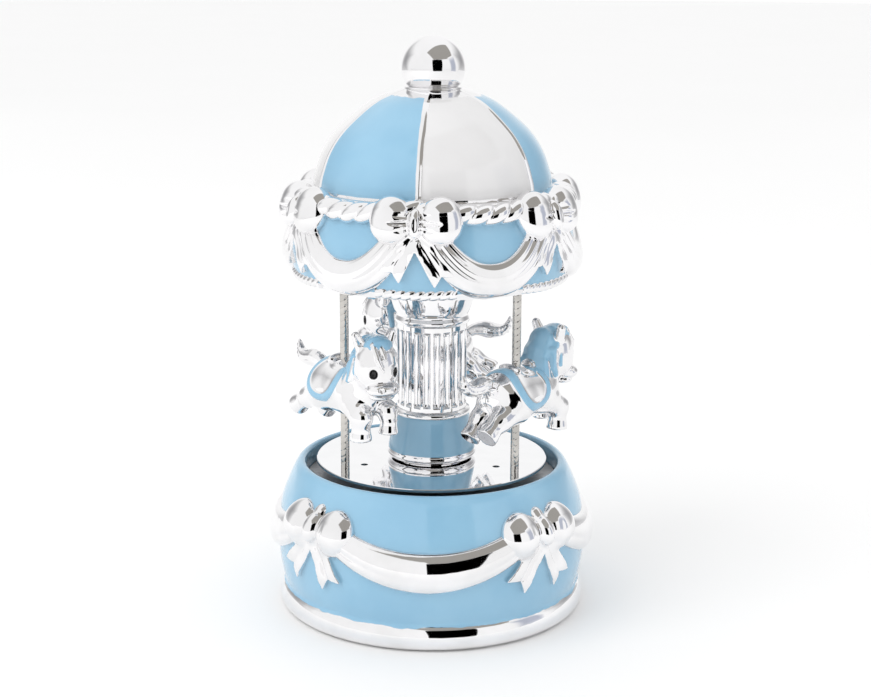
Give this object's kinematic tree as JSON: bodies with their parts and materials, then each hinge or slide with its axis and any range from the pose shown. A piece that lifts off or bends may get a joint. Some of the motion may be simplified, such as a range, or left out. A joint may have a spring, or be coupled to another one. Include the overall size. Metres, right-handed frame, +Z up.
{
  "type": "carousel music box",
  "caption": "Round silver-plated and enamelled carousel music box: ponies on twisted poles circle a fluted column over a drum base with a wind-up movement.",
  "frame": {"origin": "centre of the underside of the felt foot ring", "axes": "+Z up along the turning axis; -Y is the front as pictured"},
  "size_m": [0.1152, 0.1152, 0.2],
  "materials": {
    "silver_plate": "bright silver plating",
    "blue_enamel": "glossy pale blue enamel with silver relief",
    "dome_enamel": "glossy enamel, pale blue and pearl white panels",
    "mirror": "polished",
    "plain_steel": "plain",
    "brass": "plain",
    "felt": "felt",
    "zinc": "die cast",
    "cover_paint": "dark grey, satin"
  },
  "bodies": {
    "base": {"base_shell": "blue_enamel", "felt_ring": "felt", "base_plate": "cover_paint", "base_plate_screws": "plain_steel", "deck": "plain_steel", "deck_screws": "plain_steel", "deck_bush": "brass", "clutch_spring": "plain_steel", "bedplate": "zinc", "bedplate_screws": "plain_steel", "inner_bearing_post": "brass", "outer_bearing_post": "brass", "governor_post": "brass", "comb_heel": "zinc", "comb": "plain_steel", "comb_screws": "plain_steel", "governor_frame": "brass", "governor_screw": "plain_steel"},
    "winding": {"winding_key": "plain_steel", "winding_arbor": "plain_steel"},
    "carousel": {"spring_barrel": "brass", "mainspring": "plain_steel", "barrel_cover": "brass", "drive_spindle": "plain_steel", "turntable_hub": "zinc", "mirror_disc": "mirror", "pedestal_ring": "silver_plate", "column_pedestal": "blue_enamel", "column_shaft": "silver_plate", "column_capital": "silver_plate", "tie_rod": "plain_steel", "pole_1": "silver_plate", "pole_2": "silver_plate", "pole_3": "silver_plate", "pole_nuts_lower": "plain_steel", "pole_nuts_upper": "plain_steel", "horse_1": "silver_plate", "horse_2": "silver_plate", "horse_3": "silver_plate", "canopy_valance": "blue_enamel", "canopy_dome": "dome_enamel", "canopy_ceiling": "plain_steel", "ceiling_screws": "plain_steel", "finial": "silver_plate"},
    "cylinder": {"music_cylinder": "brass", "cylinder_shaft": "plain_steel", "cylinder_pinion": "brass", "cylinder_wheel": "brass"},
    "governor": {"governor_shaft": "plain_steel", "governor_pinion": "brass", "worm_wheel": "brass"},
    "fly": {"worm": "plain_steel", "air_brake": "brass"}
  },
  "joints": [
    {"name": "carousel_spin", "type": "hinge", "parent": "base", "child": "carousel", "pos_m": [0, 0, 0.0445], "axis": [0, 0, 1], "continuous": true},
    {"name": "key_wind", "type": "hinge", "parent": "base", "child": "winding", "pos_m": [0, 0, 0.0145], "axis": [0, 0, 1], "continuous": true},
    {"name": "cylinder_spin", "type": "hinge", "parent": "base", "child": "cylinder", "pos_m": [0, 0.0256, 0.032], "axis": [0, 1, 0], "continuous": true},
    {"name": "governor_spin", "type": "hinge", "parent": "base", "child": "governor", "pos_m": [0.0112, 0.034, 0.032], "axis": [0, 1, 0], "continuous": true},
    {"name": "fly_spin", "type": "hinge", "parent": "base", "child": "fly", "pos_m": [0.0164, 0.0316, 0.032], "axis": [0, 0, 1], "continuous": true}
  ],
  "couplings": [
    {"joint": "cylinder_spin", "follows": "carousel_spin", "ratio": 3},
    {"joint": "governor_spin", "follows": "carousel_spin", "ratio": -13.8},
    {"joint": "fly_spin", "follows": "carousel_spin", "ratio": -248.4}
  ]
}
